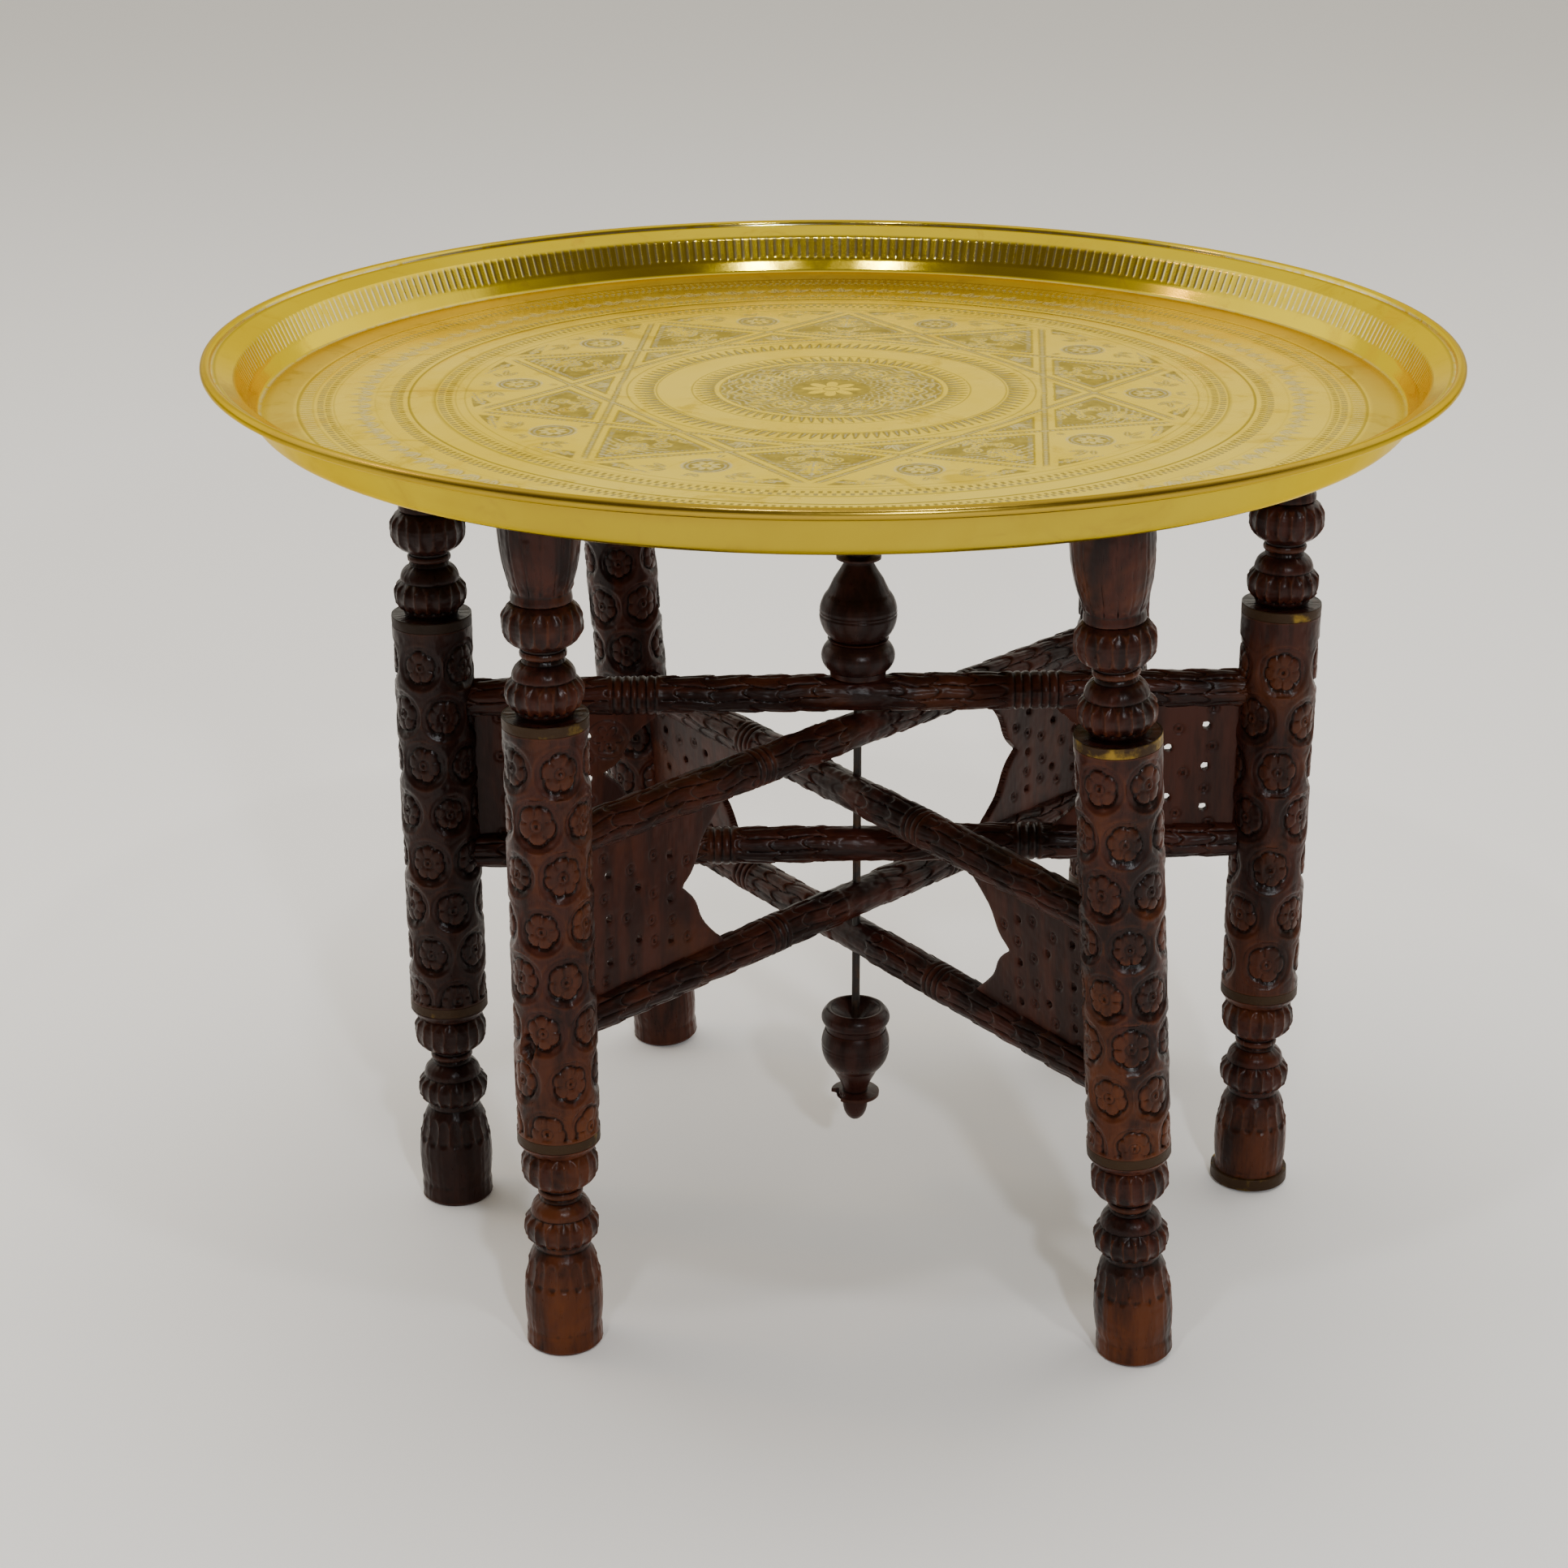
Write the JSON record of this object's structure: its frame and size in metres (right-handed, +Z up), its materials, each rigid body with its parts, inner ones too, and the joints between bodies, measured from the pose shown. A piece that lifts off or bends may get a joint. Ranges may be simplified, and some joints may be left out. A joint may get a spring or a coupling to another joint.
{
  "type": "round brass tray table with folding stand",
  "caption": "Round engraved brass tray with a raised rim, resting on a folding stand of crossing carved wooden frames that turn on a central rod.",
  "frame": {"origin": "on the floor, under the centre of the tray", "axes": "+Z up out of the tray; +X along the frame whose rails are on top, towards its right leg; +Y away from the front legs"},
  "size_m": [0.7599, 0.76, 0.5781],
  "materials": {
    "tray_brass": "old polished brass, engraved, with patina blotches",
    "rim_wire": "plain drawn wire, hidden in the rolled rim",
    "band_brass": "worn thin brass strip, mostly stained dark",
    "leg_wood": "dark red-brown carved hardwood, old satin varnish worn on the edges",
    "rail_wood": "dark red-brown carved hardwood, old satin varnish",
    "panel_wood": "thin reddish-brown board, satin, drilled and punched",
    "finial_wood": "turned dark hardwood, glossier than the legs",
    "rod_iron": "dull dark iron rod"
  },
  "bodies": {
    "top_frame": {"left_leg": "leg_wood", "right_leg": "leg_wood", "left_top_band": "band_brass", "right_top_band": "band_brass", "left_low_band": "band_brass", "right_low_band": "band_brass", "right_foot_band": "band_brass", "top_frame_upper_rail": "rail_wood", "top_frame_lower_rail": "rail_wood", "left_panel": "panel_wood", "right_panel": "panel_wood"},
    "middle_frame": {"front_left_leg": "leg_wood", "back_right_leg": "leg_wood", "front_left_top_band": "band_brass", "back_right_top_band": "band_brass", "front_left_low_band": "band_brass", "back_right_low_band": "band_brass", "middle_frame_upper_rail": "rail_wood", "middle_frame_lower_rail": "rail_wood", "front_left_panel": "panel_wood", "back_right_panel": "panel_wood"},
    "bottom_frame": {"front_right_leg": "leg_wood", "back_left_leg": "leg_wood", "front_right_top_band": "band_brass", "back_left_top_band": "band_brass", "front_right_low_band": "band_brass", "back_left_low_band": "band_brass", "bottom_frame_upper_rail": "rail_wood", "bottom_frame_lower_rail": "rail_wood", "front_right_panel": "panel_wood", "back_left_panel": "panel_wood"},
    "pivot": {"pivot_rod": "rod_iron", "top_finial": "finial_wood", "bottom_finial": "finial_wood"},
    "tray_assembly": {"tray": "tray_brass", "rim_wire": "rim_wire"}
  },
  "joints": [
    {"name": "middle_frame_fold", "type": "hinge", "parent": "top_frame", "child": "middle_frame", "pos_m": [0.017, -0.0105, 0.27], "axis": [0, 0, 1], "range_deg": [-33, 35]},
    {"name": "bottom_frame_fold", "type": "hinge", "parent": "top_frame", "child": "bottom_frame", "pos_m": [0.017, -0.0105, 0.23], "axis": [0, 0, 1], "range_deg": [-22.5, 39]},
    {"name": "rod_spin", "type": "hinge", "parent": "top_frame", "child": "pivot", "pos_m": [0.017, -0.0105, 0.2], "axis": [0, 0, 1], "continuous": true},
    {"name": "tray_lift", "type": "slide", "parent": "top_frame", "child": "tray_assembly", "axis": [0, 0, 1], "range_m": [0, 0.12]}
  ]
}
